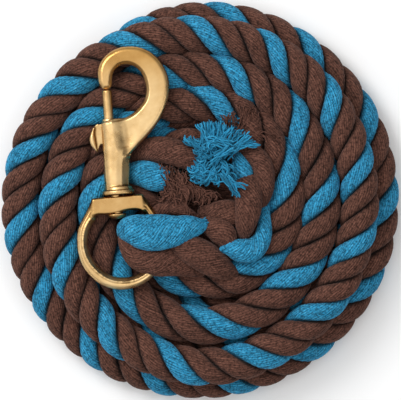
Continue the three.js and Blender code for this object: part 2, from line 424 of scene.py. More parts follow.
def strand_mesh(share, start, stop, step, seed):
    """One strand of the rope between two distances from the eye, as vertices, faces, UVs and two values."""
    rng = np.random.default_rng(seed)
    count = max(3, int((stop - start) / step))
    distance = np.linspace(start, stop, count)
    points, twists = along(distance)
    up, right = frames(points)
    wobble = slow_noise(distance, WOBBLE_SPACING, rng)
    turn = (2 * np.pi * (twists + share) + TWIST_WOBBLE * wobble)[:, None]
    out, side, face_out, face_side = strand_section(distance * YARN_TURNS_PER_MM)
    ridge = np.tile(YARN_SHAPE, YARNS)[None, :]
    girth = np.interp(distance, *zip(*SPLICE_GIRTH))
    radius = BULGE_RADIUS * girth * (1 + GIRTH_WOBBLE * np.roll(wobble, 3))
    outward = (radius[:, None] * out + ridge * face_out)[..., None]
    sideways = (radius[:, None] * side + ridge * face_side)[..., None]
    radial = up * np.cos(turn) + right * np.sin(turn)
    around = right * np.cos(turn) - up * np.sin(turn)
    vertices = points[:, None, :] + outward * radial[:, None, :] + sideways * around[:, None, :]
    vertices[..., 2] = np.maximum(vertices[..., 2], FLOOR_GAP)
    # How deep in a groove each place lies, which the cotton turns into painted shade
    depth = np.clip(1 - np.hypot(out, side), 0, 1)
    # Crests and valleys of the yarns; the cotton paints shade into the valleys
    ridges = np.broadcast_to(ridge > 0, out.shape)
    columns = out.shape[1]
    faces = tube_faces(count, columns)
    return vertices.reshape(-1, 3), faces, ring_uv(columns, distance), depth.ravel(), ridges.ravel()


def joined(parts):
    """Several parts, each vertices, faces, UVs, depths and ridges, as one."""
    vertices, faces, uv, depth, ridges = zip(*parts)
    firsts = np.r_[0, np.cumsum([len(v) for v in vertices])[:-1]]
    moved = [f + first for f, first in zip(faces, firsts)]
    values = {"depth": np.concatenate(depth), "ridge": np.concatenate(ridges)}
    return np.vstack(vertices), np.vstack(moved), np.vstack(uv), values


def make_strand(name, share, material, seed):
    """One of the rope's three strands, with fewer rings where the coil hides it."""
    seen = strand_mesh(share, 0, FINE_LENGTH, FINE_STEP, seed)
    hidden = strand_mesh(share, FINE_LENGTH - OVERLAP, ROPE_LENGTH, COARSE_STEP, seed)
    vertices, faces, uv, values = joined([seen, hidden])
    return make_object(name, vertices, faces, material, uv, values)


# -------- materials


def cotton(name, light, middle, dark, speckled=0.95):
    """Spun cotton: streaky yarns with painted shade in the lines between them (on loose yarns a random tone
    per yarn instead), painted shade in the grooves, with a dull fuzz.
    """
    values = {"Roughness": 0.92, "Specular IOR Level": 0.12, "Sheen Weight": 0.06, "Sheen Roughness": 0.5}
    material, tree, shader = new_material(name, values)
    place = object_place(tree)
    streak = add_noise(tree, fibre_place(tree, (3, 3.2, 1)), 1, 3, 0.65)
    body = add_ramp(tree, streak, [(0.32, dark), (0.5, middle), (0.68, light)])
    mottle = add_noise(tree, place, 120, 3)
    tone = add_ramp(tree, mottle, [(0.3, grey(0.82)), (0.7, grey(1))])
    colour = multiply_colour(tree, body, tone)

    yarn = add_noise(tree, fibre_place(tree, (0.9, 0.5, 1)), 1, 1)
    dye = add_ramp(tree, yarn, [(0.32, grey(0.7)), (0.62, grey(1))])
    colour = multiply_colour(tree, colour, dye)

    fleck = add_noise(tree, place, 900, 3, 0.75)
    speckle = add_ramp(tree, fleck, [(0.4, grey(0.3)), (0.5, grey(0.8)), (0.6, grey(1))])
    colour = multiply_colour(tree, colour, speckle, speckled)

    # Painted shade in the valleys between a strand's yarns; on loose yarns the same stored value is a random
    # tone per yarn
    gap_shade_and_tone = add_ramp(tree, stored_value(tree, "ridge"), [(0, grey(0.48)), (0.75, grey(1))])
    colour = multiply_colour(tree, colour, gap_shade_and_tone)
    # Painted shade from the stored depth: darkest in the grooves between strands, under loose strands and on
    # lower yarns
    painted_shades = [(0.05, grey(1)), (0.15, grey(0.8)), (0.25, grey(0.3)), (0.5, grey(0.1))]
    groove_shade = add_ramp(tree, stored_value(tree, "depth"), painted_shades)
    colour = multiply_colour(tree, colour, groove_shade)
    tree.links.new(colour, shader.inputs["Base Color"])

    fibres = add_bump(tree, streak, 0.55, 0.00025)
    fuzz = add_bump(tree, fleck, 0.5, 0.0002, fibres)
    tree.links.new(fuzz, shader.inputs["Normal"])
    return material


def brass(name):
    """Cast brass, tumbled satin: softly mottled, darker and browner by place along the snap, and with brown
    painted shade in its hollows.
    """
    material, tree, shader = new_material(name, {"Metallic": 1})

    place = object_place(tree)
    mottle = add_noise(tree, place, 110, 5, 0.6)
    tones = [(0.3, (0.59, 0.38, 0.165)), (0.5, (0.70, 0.475, 0.225)), (0.7, (0.78, 0.56, 0.29))]
    body = add_ramp(tree, mottle, tones)
    # Darker and browner where the stored value is low: towards the hook's end, at the flange and on the
    # ring's bar
    darkening_along = add_ramp(tree, stored_value(tree, "brightness_along"), [(0, (0.61, 0.47, 0.26)), (1, grey(1))])
    # Painted shade in the hollows, browned, from the stored crevice value
    hollow_shade_stops = [(0.45, grey(1)), (0.62, (0.45, 0.36, 0.26)), (0.8, (0.2, 0.14, 0.09))]
    hollow_shade = add_ramp(tree, stored_value(tree, "crevice"), hollow_shade_stops)
    colour = multiply_colour(tree, multiply_colour(tree, body, darkening_along), hollow_shade)
    tree.links.new(colour, shader.inputs["Base Color"])

    rough = add_node(tree, "ShaderNodeMapRange")
    for key, value in {"From Min": 0.3, "From Max": 0.7, "To Min": 0.22, "To Max": 0.38}.items():
        rough.inputs[key].default_value = value
    tree.links.new(mottle, rough.inputs["Value"])
    tree.links.new(rough.outputs["Result"], shader.inputs["Roughness"])

    grain = add_bump(tree, add_noise(tree, place, 900, 3, 0.6), 0.22, 0.0001)
    dents = add_bump(tree, mottle, 0.35, 0.0008, grain)
    tree.links.new(dents, shader.inputs["Normal"])
    return material


def steel(name):
    """Drawn spring wire: bright, with fine draw marks along it."""
    material, tree, shader = new_material(name, {"Metallic": 1})
    draw = add_noise(tree, fibre_place(tree, (4, 0.6, 1)), 1, 3)
    colour = add_ramp(tree, draw, [(0.3, (0.42, 0.43, 0.45)), (0.7, (0.66, 0.67, 0.69))])
    tree.links.new(colour, shader.inputs["Base Color"])
    rough = add_ramp(tree, draw, [(0.3, grey(0.22)), (0.7, grey(0.4))])
    tree.links.new(rough, shader.inputs["Roughness"])
    return material


BROWN = cotton("brown_cotton", (0.255, 0.114, 0.080), (0.168, 0.072, 0.050), (0.093, 0.038, 0.027))
BLUE = cotton("blue_cotton", (0.105, 0.520, 0.850), (0.040, 0.365, 0.645), (0.010, 0.225, 0.445))
BLUE_YARN = cotton("blue_yarn", (0.095, 0.520, 0.840), (0.026, 0.310, 0.550), (0.004, 0.165, 0.335), 0.4)
BROWN_YARN = cotton("brown_yarn", (0.250, 0.112, 0.078), (0.150, 0.064, 0.044), (0.078, 0.032, 0.023), 0.4)
BRASS = brass("cast_brass")
TWINE = cotton("twine", (0.62, 0.54, 0.40), (0.50, 0.42, 0.30), (0.36, 0.29, 0.20))
STEEL = steel("spring_wire")

# -------- strands of the eye and its splice

YARN_WIDTH = 1.15
YARN_SLOPE = 0.7
RING_SPACING = 1.6
SQUARENESS = 2 / 2.25
LUMP_SPACING = 9
LUMPINESS = 0.02
UNDERSIDE_SHADE = 0.3


def evenly(rows, step):
    """The rows at even distances along their line, and those distances."""
    run = run_lengths(rows[:, :3])
    places = np.linspace(0, run[-1], max(4, int(run[-1] / step) + 1))
    return np.stack([np.interp(places, run, rows[:, k]) for k in range(rows.shape[1])], axis=1), places


def loose_strand(route, rng, shade):
    """Vertices, faces, UVs and two values of a strand whose yarns wind to the left along it."""
    rows, distance = evenly(smooth_route(route, 10), RING_SPACING)
    up, right = frames(rows[:, :3])
    across = float(np.mean(rows[:, 3]) + np.mean(rows[:, 4]))
    yarns = 2 * round(math.pi * across / (2 * YARN_WIDTH))
    columns = yarns * len(YARN_SHAPE)
    turned = -YARN_SLOPE * distance / (math.pi * across)
    angle = 2 * np.pi * (np.arange(columns)[None, :] / columns + turned[:, None] + rng.random())
    c, s = np.cos(angle), np.sin(angle)
    face_up = np.sign(c) * np.abs(c) ** SQUARENESS
    face_side = np.sign(s) * np.abs(s) ** SQUARENESS
    ridge = np.tile(YARN_SHAPE, yarns)[None, :]
    lump = 1 + LUMPINESS * slow_noise(distance, LUMP_SPACING, rng)
    height = ((rows[:, 4] * lump)[:, None] * face_up + ridge * c)[..., None]
    side = ((rows[:, 3] * lump)[:, None] * face_side + ridge * s)[..., None]
    vertices = rows[:, None, :3] + height * up[:, None, :] + side * right[:, None, :]
    # Painted shade: darker on the underside, and nowhere lighter than the given shade
    depth = np.maximum(UNDERSIDE_SHADE * np.clip(-face_up, 0, 1), shade)
    # Crests and valleys of the yarns; the cotton paints shade into the valleys
    ridges = np.broadcast_to(ridge > 0, angle.shape)
    faces = tube_faces(len(distance), columns)
    return vertices.reshape(-1, 3), faces, ring_uv(columns, distance), depth.ravel(), ridges.ravel()


def make_loose_strands(name, routes, material, seed, shade=0.0):
    """Strands on their own routes of (x, y, z, half width, half height) points, as one piece."""
    rng = np.random.default_rng(seed)
    vertices, faces, uv, values = joined([loose_strand(route, rng, shade) for route in routes])
    return make_object(name, vertices, faces, material, uv, values)


# The eye's and the splice's strands; each point is x, y, z, half width and half height
STRAND_ROUTES = {
    "eye_strand_blue": [
        (-36.2, -14, 31, 4.5, 3.5), (-34.6, -14.1, 37, 6, 4.2), (-31.2, -14.1, 40.6, 7.4, 4.4),
        (-27.2, -15, 41.4, 8.1, 4.5), (-22.4, -15.4, 41.6, 8.4, 4.6), (-16.9, -15, 41.6, 8.2, 4.5),
        (-11.3, -14.4, 41.2, 7.2, 4.2), (-5.8, -12.9, 40.4, 5.9, 3.6), (-1, -12.2, 39.2, 4.2, 2.8),
        (2, -11.2, 38, 2.4, 1.8), (3.8, -10.3, 37.2, 1, 0.8),
    ],
    "eye_strand_brown_lower": [
        (-35, -13.5, 32, 4, 4), (-33.9, -20.4, 35, 5, 5), (-29.4, -26.6, 36, 6.3, 5.6),
        (-22.6, -29, 36.3, 6.6, 5.8), (-15.3, -29.4, 35.4, 6.6, 5.6), (-9, -30.6, 33, 5.6, 5),
        (-3.4, -32.2, 30.4, 4.2, 4.2), (1.3, -33.4, 28, 3, 3),
    ],
    "eye_strand_brown_upper": [
        (-14.5, -18, 34.4, 3.5, 4), (-9.8, -20.6, 36.6, 5.6, 5.2), (-4, -23.6, 37.8, 7.1, 5.8),
        (1.8, -26.8, 37.4, 7.6, 5.8), (7.2, -30.3, 34.8, 6.6, 5.2), (12, -33.2, 31.2, 4.8, 4.2),
        (16, -35.2, 28, 3, 3),
    ],
    "splice_brown_front": [
        (0.5, -10.6, 32, 2.6, 3), (4.5, -12.2, 34.8, 4.8, 4.4), (8.8, -14.4, 36.2, 6.2, 5),
        (11.8, -17.4, 36, 5.8, 4.8), (12.2, -20.6, 34, 4, 4), (11.2, -23.4, 31, 2.2, 2.4),
    ],
    "splice_brown_middle": [
        (0.2, -5.9, 29, 2.8, 3), (4.5, -5.7, 32, 3.9, 3.9), (9.3, -5.4, 34.2, 5.4, 4.8),
        (14, -6.2, 34, 6.6, 5), (18.4, -8, 31.5, 5.2, 4.4),
    ],
    "splice_brown_inner": [
        (21.1, 11.5, 29, 4, 3.6), (22.1, 7.1, 33.5, 6.2, 5), (22.7, 0.8, 36.2, 6.3, 5.6),
        (22.3, -5.5, 37, 6, 5.6), (21.3, -11.1, 36, 4.9, 5), (20.6, -15.8, 33.6, 3.2, 3.8),
        (20.2, -19, 31, 1.2, 2),
    ],
    "splice_brown_outer": [
        (19.6, 25, 28, 3.2, 3.2), (24.3, 22.2, 31.4, 4.4, 4.4), (28.7, 17.4, 33.4, 4.9, 5),
        (30.2, 11.9, 34, 4.8, 5), (30.6, 6.3, 33, 4.2, 4.6), (29.5, 0.8, 30.6, 3.4, 3.8),
        (28.3, -3.2, 27.6, 2, 2.4),
    ],
    "splice_blue_tuck": [
        (17.6, 22.6, 28, 0.6, 1.4), (18, 20, 30.6, 2.4, 3.2), (18.8, 16.2, 32.2, 4.9, 4.4),
        (20, 12, 32, 5.7, 4.4), (21.4, 8.6, 29, 4.2, 3.4),
    ],
    "splice_blue_hook": [
        (31.8, 2.4, 23, 1.2, 1.6), (30.6, -2.4, 26.5, 2.2, 2.8), (30.2, -7.9, 29.6, 2.9, 3.8),
        (30.2, -13.5, 31.8, 3.6, 4.4), (28.7, -19, 33.4, 4.5, 5), (24.7, -23.2, 34.4, 5.6, 5.2),
        (19.4, -23.9, 35.4, 5.7, 4.8), (14.6, -22.9, 36.4, 4.4, 4), (11.2, -23.1, 36.8, 2.5, 2.8),
        (8.8, -24, 36.6, 0.7, 1.2),
    ],
    "splice_brown_left": [
        (-24, -7.9, 31, 2.4, 3), (-19.2, -5.1, 33.4, 3.4, 3.8), (-14.5, -3.6, 34.4, 3.5, 4),
        (-9.7, -4.4, 34.2, 3.2, 3.8), (-5, -6.7, 32.8, 2.4, 3), (-0.2, -8.7, 31, 1, 1.4),
    ],
    "turn_blue_end": [
        (-35.1, 12.7, 22, 3.6, 3.4), (-31.1, 12.7, 27, 5.4, 4.6), (-26.4, 12.3, 30.2, 6.4, 5.2),
        (-21.6, 10.7, 31.8, 6.7, 5.2), (-17.7, 9.5, 32, 5.8, 4.6), (-15.4, 8.7, 31.6, 4.4, 3.8),
    ],
    "turn_brown_upper": [
        (-32.7, 17.4, 22, 2.6, 2.8), (-29.5, 21.4, 26, 4.2, 4), (-24, 23.8, 29.4, 5.5, 5.2),
        (-17.7, 23.8, 31.4, 6.2, 5.8), (-11.3, 22.2, 32, 6.4, 5.8), (-5, 19.6, 31.6, 5.9, 5.4),
        (1, 15.5, 30, 5.2, 5), (5.5, 10.5, 27.5, 4, 4.2),
    ],
    "turn_brown_behind": [
        (-16.1, 28.5, 24, 2.2, 2.4), (-11.3, 30.1, 27, 3, 3.4), (-5.8, 30.9, 28.4, 3.2, 3.8),
        (-1, 30.1, 28.4, 3, 3.6), (4.5, 27.7, 27, 2.4, 3),
    ],
    "turn_blue_behind": [
        (-29.5, 26.2, 18, 2.2, 2.6), (-25.6, 28.5, 21, 2.9, 3.2), (-20, 31.2, 23, 3.5, 3.6),
        (-14.5, 32, 22.6, 2.6, 3), (-11, 32.4, 19, 1.6, 2.2),
    ],
}
# Short strands below them, darkened with painted shade, which close the gaps that they leave
UNDER_ROUTES = [
    [
        (-30, 10, 14, 5, 5), (-20, 4, 17, 7.5, 6), (-8, 0, 18.5, 8.5, 6.5), (6, -2, 18.5, 8.5, 6.5),
        (18, 2, 17, 7.5, 6), (24, 6, 14, 5, 5),
    ],
    [
        (-20, -14, 20, 6, 5), (-10, -11, 22, 7.5, 6), (2, -12, 24, 8, 6), (12, -20, 24, 7, 6),
        (20, -24, 22, 5, 5),
    ],
    [
        (-6, 22, 16, 6, 5), (3, 16, 20, 8, 6.5), (12, 10, 22, 8.5, 6.5), (20, 2, 21, 7, 6),
        (23, -8, 20, 5, 5),
    ],
    [
        (-21, 34.5, 17, 2.5, 3), (-14, 36.3, 20.5, 3.4, 3.6), (-6, 37, 20.5, 3.4, 3.6),
        (3, 37.3, 17, 2.5, 3),
    ],
    [
        (-34, 8, 22, 3, 3), (-31, 5, 26, 4.2, 3.6), (-27, 1, 27.5, 4.6, 3.8), (-22, -2, 27.5, 4.4, 3.8),
        (-17, -4, 26, 3.4, 3.4),
    ],
]
# Painted shade laid over the strands below the splice
UNDER_SHADE = 0.16

# -------- loose ends

YARN_SIDES = 6
YARN_RINGS = 20
ROOT_TAPER = 0.3
TIP_TAPER = 0.55
SCATTER = 0.8


def yarn_tubes(lines, radii, seed):
    """Tubes along several lines of points, joined as one mesh."""
    rng = np.random.default_rng(seed)
    vertices, faces, uv = [], [], []
    total = 0
    angle = 2 * np.pi * np.arange(YARN_SIDES) / YARN_SIDES
    c, s = np.cos(angle)[None, :, None], np.sin(angle)[None, :, None]
    for line, radius in zip(lines, radii):
        up, right = frames(line)
        size = np.full(len(line), float(radius))
        size[-1] *= TIP_TAPER
        size[0] *= ROOT_TAPER
        ring = line[:, None, :] + size[:, None, None] * (c * up[:, None, :] + s * right[:, None, :])
        vertices.append(ring.reshape(-1, 3))
        faces.append(tube_faces(len(line), YARN_SIDES, total))
        uv.append(ring_uv(YARN_SIDES, run_lengths(line), rng.random() * 40))
        total += len(line) * YARN_SIDES
    return np.vstack(vertices), np.vstack(faces), np.vstack(uv)


def curl_line(start, middle, tip, rng, curl):
    """A bowed line with a wave every 5 to 9 mm, which grows towards the tip; a curl over about 1 loops."""
    t = np.linspace(0, 1, YARN_RINGS)[:, None]
    line = (1 - t) ** 2 * start + 2 * t * (1 - t) * middle + t**2 * tip
    length = np.linalg.norm(middle - start) + np.linalg.norm(tip - middle)
    wave = 2 * np.pi * length / rng.uniform(5, 9) * t
    ahead = (tip - start) / (np.linalg.norm(tip - start) + 1e-6)
    side = np.cross(ahead, (0, 0, 1))
    lift = np.cross(side, ahead)
    grow = curl * (0.25 + t)
    phase = rng.uniform(0, 2 * np.pi, 2)
    line += side * grow * np.sin(wave + phase[0])
    line += ahead * 0.9 * grow * np.cos(wave + phase[0])
    line += lift * 0.7 * grow * np.sin(wave + phase[1])
    return line


def make_tuft(name, groups, material, radius, seed):
    """Loose yarns in groups of (count, start, middle, tip from, tip to, spread, curl, painted shade)."""
    rng = np.random.default_rng(seed)
    lines, radii, painted_shades = [], [], []
    for count, start, middle, tip_from, tip_to, spread, curl, shade in groups:
        for k in range(count):
            share = (k + rng.uniform(0.1, 0.9)) / count
            tip = np.array(tip_from) * (1 - share) + np.array(tip_to) * share + rng.normal(0, SCATTER, 3)
            begin = np.array(start) + rng.normal(0, 1, 3) * spread
            bend = np.array(middle) + 0.35 * (tip - middle) + rng.normal(0, SCATTER, 3)
            lines.append(curl_line(begin, bend, tip, rng, curl))
            radii.append(radius * rng.uniform(0.85, 1.1))
            painted_shades.append(shade)
    vertices, faces, uv = yarn_tubes(lines, radii, seed + 1)
    size = YARN_RINGS * YARN_SIDES
    tone = np.repeat(rng.uniform(0.0, 1.0, len(lines)) ** 0.7, size)
    # depth carries each group's painted shade, and ridge a random tone per yarn
    return make_object(name, vertices, faces, material, uv, {"depth": np.repeat(painted_shades, size), "ridge": tone})


# Each group is count, start, middle, tip from, tip to, spread, curl and painted shade, heavier on the lower
# yarns
BLUE_TUFT = [
    (46, (6, 19, 35.5), (6, 19, 37.5), (0, 31, 36), (12, 10, 36), (5, 5, 0.6), 1.3, 0.3),
    (28, (5, 22, 37.5), (4, 28, 41), (-1.8, 35.4, 38.5), (6, 36.8, 38.5), (3.4, 1.6, 0.8), 0.25, 0),
    (14, (7, 24, 37), (7, 29, 40.5), (3.8, 36.4, 38), (10.4, 36.8, 38), (2.8, 1.6, 0.8), 0.25, 0.05),
    (24, (9, 22, 37.5), (10, 28, 41), (7, 36.9, 38.5), (16.5, 33.2, 38.5), (3, 1.6, 0.8), 0.25, 0),
    (11, (10, 21, 37.5), (14, 27, 40), (15.5, 33.4, 37.5), (22, 31.4, 37.5), (2.6, 1.6, 0.8), 0.5, 0.08),
    (26, (12, 22, 38), (17, 26, 42), (21.6, 32, 38.5), (27.2, 25.4, 38), (2.4, 2, 0.8), 0.25, 0),
    (13, (3, 22, 38), (-1, 25, 41), (-8.8, 27, 38), (-4.4, 30.4, 38), (1.8, 1.4, 0.8), 0.45, 0),
    (13, (5, 21, 38.5), (2, 21, 41.5), (-2.4, 25.5, 38.5), (-1.4, 17, 38.5), (2.4, 2.4, 0.8), 1.2, 0),
    (15, (3, 24, 38.5), (3, 26, 41.5), (-1, 22, 40), (10, 29, 40.5), (3.2, 2.6, 0.8), 1.3, 0),
    (15, (5.4, 19, 41), (10, 22, 45), (14.2, 26.2, 42.5), (15.4, 23.4, 42), (1.7, 2, 0.5), 0.1, 0),
    (11, (14.6, 26.4, 42), (10.5, 30.4, 44), (2.4, 30, 40), (3.4, 25.6, 40), (0.8, 1.4, 0.5), 0.12, 0),
    (24, (4, 17, 39), (2, 15, 42.5), (-5.2, 14.6, 38.5), (-2.8, 9.2, 37), (3.8, 2.8, 1), 1.4, 0),
    (27, (6, 15, 39), (6, 13, 42.5), (-2.6, 9, 37.5), (9, 8.2, 38.5), (4, 2.8, 1), 1.3, 0),
    (9, (10, 13, 40), (13, 8.4, 43.5), (14.4, 1.4, 42), (19.6, 2.6, 42.5), (1.6, 1.6, 0.8), 0.3, 0),
    (5, (12, 12, 40), (14, 7, 43.5), (20.4, 4.8, 42.5), (21.4, 7, 42.5), (1.2, 1.2, 0.8), 0.3, 0),
    (10, (9.6, 18, 39), (12.6, 16, 42), (14.8, 15, 39), (13.4, 9, 40), (1.6, 2, 0.8), 0.9, 0),
]
BROWN_TUFT_INNER = [
    (60, (-12, 9, 31), (-11, 7, 34), (-18, 1, 31), (-4, 2, 31), (4.5, 4, 0.8), 1.4, 0.2),
    (54, (-15, 12, 34), (-14, 7, 38), (-19, 0, 35), (-10, -3, 36), (2.2, 4, 1.2), 1.5, 0.02),
    (46, (-12, 12, 34), (-9, 8, 38.5), (-12, -1, 35), (-3, 2, 35), (2.8, 3.6, 1.2), 1.5, 0.02),
    (14, (-12, 6, 35), (-9, 0, 38), (-6.5, -6, 37), (-3.6, -8.2, 36.5), (1.6, 1.8, 0.8), 0.7, 0),
    (34, (-8, 7, 33), (-3, 5, 37), (-2, -2, 34), (9, 2, 34), (3.4, 2.6, 1), 1.4, 0.04),
    (16, (-17, 15, 34.5), (-18, 12, 37), (-20, 8, 34.5), (-18.6, 17.5, 35), (1.6, 2.4, 0.8), 0.7, 0),
]
BROWN_TUFT_OUTER = [
    (24, (14, 34, 30), (14, 38, 34), (9, 40.5, 31), (17, 42, 32), (3, 1, 0.8), 0.35, 0.06),
    (28, (20, 33, 30), (21, 38, 35), (17, 43.5, 32), (26, 43.5, 32), (2.8, 1.4, 0.8), 0.3, 0.04),
    (22, (23, 33, 30), (25, 36, 35), (23, 42, 32), (28, 38, 31), (2.6, 1.4, 0.8), 0.35, 0.02),
    (22, (20, 33, 30), (25, 33, 34), (27, 36, 31), (31, 28, 32), (3, 1.6, 0.8), 0.5, 0.06),
    (7, (27, 33, 31), (33, 30, 35), (38, 30, 33), (35, 23, 33), (2, 1.6, 0.4), 0.5, 0.12),
]
SMALL_FRAYS = [
    (22, (15, 40, 27), (16, 38, 31), (11.5, 37, 31), (19.5, 37.5, 31), (2.6, 1.8, 0.6), 0.3, 0),
    (14, (-1.5, -11.8, 40), (1, -10.6, 40.6), (2.8, -9, 38.5), (4, -11.6, 38.5), (1.2, 1.4, 0.8), 0.2, 0),
    (26, (-18, 9.5, 33), (-16, 9.5, 36), (-14.6, 14.6, 33), (-16.5, 4.2, 33), (1, 3.2, 1.2), 0.5, 0),
]

# -------- the brass snap

# The snap is drawn flat, from the ring's centre: u across it, v along it towards the hook, w upwards
SNAP_PLACE = (-38.3, -21.4, 36)
SNAP_TURN = math.radians(4)
VOXEL = 0.32
FIELD_REACH = 3.0
CUT_FILLET = 0.3
OUTLINE_STEPS = 5

HOOK_OUTER = [
    (-3.4, 74.8), (-4.4, 76.8), (-4.6, 80), (-4.2, 83.6), (-2.4, 87.4), (1.2, 90.8), (6, 92.9),
    (10.8, 93.4), (16.2, 92.5), (20.8, 90.1), (24.6, 86.4), (27.3, 81.5), (28.7, 76.2), (28.5, 70.9),
    (27.2, 65.5), (24.8, 60.3), (21.1, 55.1), (16.7, 50.5), (12.3, 46.4), (9.2, 43.6), (7.6, 41.9),
]
HOOK_INNER = [
    (1.8, 58.7), (4.3, 59.2), (7.8, 60.3), (11.4, 62.2), (14.6, 65.1), (16.9, 68.4), (17.8, 72.3),
    (17.4, 76.4), (16, 80.4), (13.5, 83.3), (10.2, 84.9), (6.8, 84.7), (4, 83), (2.5, 80.6),
    (1.9, 77.5), (1.6, 75.2), (0.4, 74), (-1.5, 73.9),
]
WEB_BOTTOM = [(5.6, 42.2), (3.2, 45.5), (2.4, 50), (2, 56.8), (1.9, 58.2)]
RING_OUTER = [
    (-11.4, 22.9), (-11.6, 22.4), (-13.9, 17.7), (-17, 12.6), (-18.9, 8.9), (-19.7, 4), (-19.7, -1.2),
    (-18.4, -7.4), (-15, -13.2), (-10.2, -17.6), (-4.6, -20.2), (1.2, -21), (7.3, -20), (13.2, -17),
    (17.8, -12.6), (20.6, -7), (21.3, -1), (20.9, 5), (19.8, 10.4), (17.6, 15.4), (14.4, 20.4),
    (12.8, 23), (12.5, 23.4), (6, 23.5), (0, 23.5), (-6, 23.2),
]
RING_INNER = [
    (-9.6, 14.9), (-10.4, 12.8), (-12.2, 10.6), (-13.8, 7.6), (-14.7, 3.4), (-14.5, -1.3), (-13.2, -5.4),
    (-10.8, -9), (-7.5, -12.2), (-3.7, -14.4), (0.6, -15.2), (5.4, -14.9), (10, -13), (13.6, -9.6),
    (15.6, -5.2), (16.2, -0.6), (15.8, 4.4), (14.9, 9), (13, 13.4), (11.2, 15.6), (7.9, 16.3),
    (3.6, 16), (0, 15.1), (-4.6, 14.8),
]
BUTTON_OUTLINE = [
    (-5, 57.6), (-6.4, 57.6), (-8.2, 56.3), (-9.9, 53.3), (-10.5, 50.5), (-9.8, 47.7), (-7.3, 44.7),
    (-6.8, 45.4), (-5.9, 47.6), (-5, 48.4), (-4, 48.6), (-4, 57.2),
]
BUTTON_KNOB = [
    (-5.9, 57.9), (-7.8, 56.4), (-8, 51), (-7.3, 44.9), (-9.8, 47.7), (-10.5, 50.5), (-9.9, 53.3),
    (-8.2, 56.3),
]
# Distances from the ring's inner edge, with half the ring's thickness at each
RING_PROFILE = [(0, 0.5), (0.5, 1.25), (2.2, 3.05), (2.9, 2.5), (3.5, 2.8), (4.8, 2.45), (12, 2.45)]
# Round parts: where the axis lies across the snap, radius, middle along the snap and half length
BARREL = (-0.2, 4.75, 42.9, 15.8)
FLANGE = (1.35, 7.7, 25, 0.9)
FLANGE_STEP = (1.35, 6.9, 26.2, 1.5)
COLLAR = (-0.85, 3.1, 59, 0.95)
SHANK = (0, 2.6, 19.5, 5.5)
SHANK_HOLE = (0, 2.9, 19.5, 6)
BORE = (-0.85, 2.55, 46.2, 15.4)
BOLT = (-0.85, 2.3, 61.85, 11.85)
BARREL_CHAMFER = 0.9
BOLT_CHAMFER = 0.6
BUTTON_CHAMFER = 0.7
STEP_TAPER = 0.35
HEAD_RADIUS = 4.6
HEAD_TOP = 14.9
# The hook's half thickness at its outer rim, at its inner rim and at most, and how far in its rim curves
HOOK_OUTER_RIM = 0.7
HOOK_INNER_RIM = 1.7
HOOK_HALF = 3.35
HOOK_CURVE = 2.7
# Boxes: lowest and highest corners, and the rounding of the edges
RIB_BOX = ((0, 26, -4.3), (6.5, 44.5, 4.3), 0.8)
SLOT_BOX = ((-9, 35.4, -1.5), (-3.2, 58, 1.5), 0.4)


def rounded_loop(points):
    """A closed smooth outline through the points."""
    p = np.array(points)
    place = np.arange(len(p) * OUTLINE_STEPS) / OUTLINE_STEPS
    i = place.astype(int)
    a, b, c, d = (p[(i + k) % len(p)] for k in (-1, 0, 1, 2))
    return catmull_rom(a, b, c, d, (place - i)[:, None])


def line_distance(points, u, v, closed=True):
    """Distance from each place to a line of points, and for a closed one it is negative inside."""
    best = np.full(u.shape, 1e9)
    inside = np.zeros(u.shape, bool)
    following = np.roll(points, -1, axis=0) if closed else points[1:]
    for (ax, ay), (bx, by) in zip(points, following):
        ex, ey = bx - ax, by - ay
        share = np.clip(((u - ax) * ex + (v - ay) * ey) / (ex * ex + ey * ey + 1e-12), 0, 1)
        best = np.minimum(best, np.hypot(u - ax - share * ex, v - ay - share * ey))
        crosses = (ay > v) != (by > v)
        inside ^= crosses & (u < ax + (v - ay) * ex / (ey if ey else 1e-12))
    return np.where(inside, -best, best) if closed else best


def blend_union(a, b, width):
    """Two solids as one, with a fillet of about the width between them."""
    share = np.clip(0.5 + 0.5 * (b - a) / width, 0, 1)
    return b * (1 - share) + a * share - width * share * (1 - share)


def cut_away(a, b):
    """The first solid less the second, with the edge softened."""
    return -blend_union(-a, b, CUT_FILLET)


def chamfered(side, end, width):
    """A solid inside both its side and its end, with the edge between them taken off."""
    return np.maximum(np.maximum(side, end), (side + end + width) * 0.7)


def rod(u, v, w, across, radius, middle, half, chamfer=0):
    """A round rod along the snap."""
    side, end = np.hypot(u - across, w) - radius, np.abs(v - middle) - half
    return chamfered(side, end, chamfer) if chamfer else np.maximum(side, end)


def box_distance(u, v, w, low, high, rounding):
    """Distance from a box with rounded edges, negative inside."""
    parts = []
    for value, lo, hi in zip((u, v, w), low, high):
        parts.append(np.abs(value - (lo + hi) / 2) - (hi - lo) / 2 + rounding)
    outside = np.sqrt(sum(np.maximum(q, 0) ** 2 for q in parts))
    return outside + np.minimum(np.maximum(np.maximum(parts[0], parts[1]), parts[2]), 0) - rounding


def solid_grid(low, high):
    """Places u, v and w on a grid of voxels in a box, and the flat u and v of one layer of it."""
    u, v, w = np.meshgrid(*[np.arange(lo, hi, VOXEL) for lo, hi in zip(low, high)], indexing="ij")
    return u, v, w, u[:, :, 0], v[:, :, 0]


def snap_to_rope(local):
    """Places in the snap's flat drawing, turned and moved to where it lies."""
    c, s = math.cos(SNAP_TURN), math.sin(SNAP_TURN)
    x = SNAP_PLACE[0] + local[:, 0] * c - local[:, 1] * s
    y = SNAP_PLACE[1] + local[:, 0] * s + local[:, 1] * c
    return np.stack([x, y, SNAP_PLACE[2] + local[:, 2]], axis=1)


def neighbour_mean(values, edges):
    """Each vertex's mean over the vertices that it shares an edge with."""
    total = np.zeros_like(values)
    count = np.zeros(len(values))
    for a, b in ((0, 1), (1, 0)):
        np.add.at(total, edges[:, a], values[edges[:, b]])
        np.add.at(count, edges[:, a], 1)
    return total / (count[:, None] if values.ndim > 1 else count)


